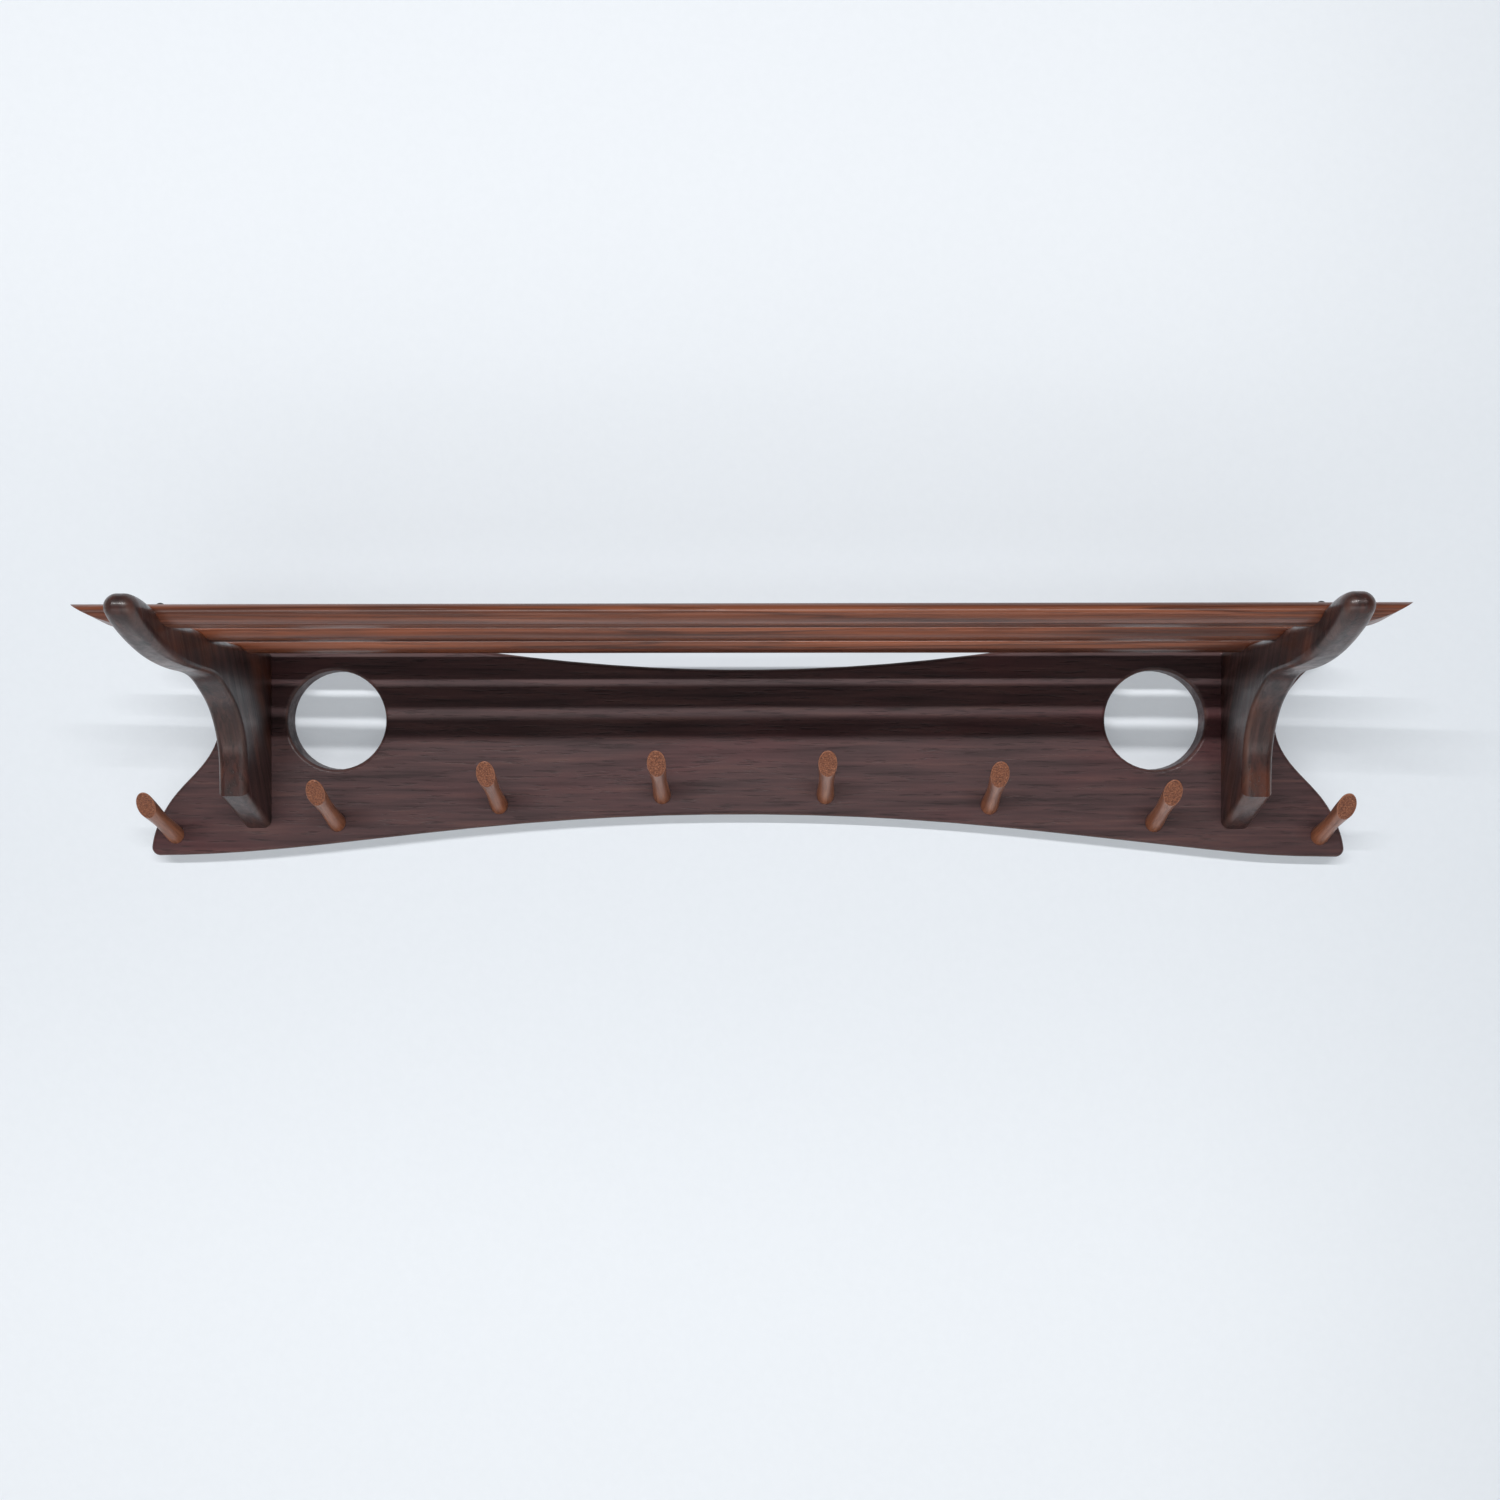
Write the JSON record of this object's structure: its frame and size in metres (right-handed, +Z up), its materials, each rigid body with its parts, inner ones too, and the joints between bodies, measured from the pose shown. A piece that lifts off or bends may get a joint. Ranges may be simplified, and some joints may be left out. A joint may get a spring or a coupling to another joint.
{
  "type": "wall coat rack",
  "caption": "Wall-mounted wooden coat rack: dark hourglass backboard with round windows, sculpted brackets under a slatted hat shelf, and slanted coat pegs along the bottom.",
  "frame": {"origin": "on the board's rear (wall) face, at mid-length and mid-height", "axes": "+X along the rack to the viewer's right, +Y into the wall, +Z up; the rack faces -Y"},
  "size_m": [1.0032, 0.294, 0.195],
  "materials": {
    "dark_wood": "dark rosewood-coloured stain, semi-matt, fine horizontal grain",
    "bracket_wood": "solid dark brown hardwood, satin oil",
    "slat_wood": "oiled teak, streaky grain along the slat, satin",
    "peg_wood": "turned teak with bare speckled end grain, satin",
    "dome_screw_metal": "dark bronzed steel, semi-gloss",
    "zinc_steel": "bright zinc-plated steel"
  },
  "bodies": {
    "root": {"backboard": "dark_wood", "left_bracket": "bracket_wood", "right_bracket": "bracket_wood", "front_slat": "slat_wood", "middle_slat": "slat_wood", "rear_slat": "slat_wood", "coat_peg_1": "peg_wood", "coat_peg_2": "peg_wood", "coat_peg_3": "peg_wood", "coat_peg_4": "peg_wood", "coat_peg_5": "peg_wood", "coat_peg_6": "peg_wood", "coat_peg_7": "peg_wood", "coat_peg_8": "peg_wood", "left_slat_screws": "dome_screw_metal", "right_slat_screws": "dome_screw_metal", "left_bracket_screws": "zinc_steel", "right_bracket_screws": "zinc_steel", "left_hanger_plate": "zinc_steel", "right_hanger_plate": "zinc_steel", "left_hanger_screws": "zinc_steel", "right_hanger_screws": "zinc_steel"}
  },
  "joints": []
}
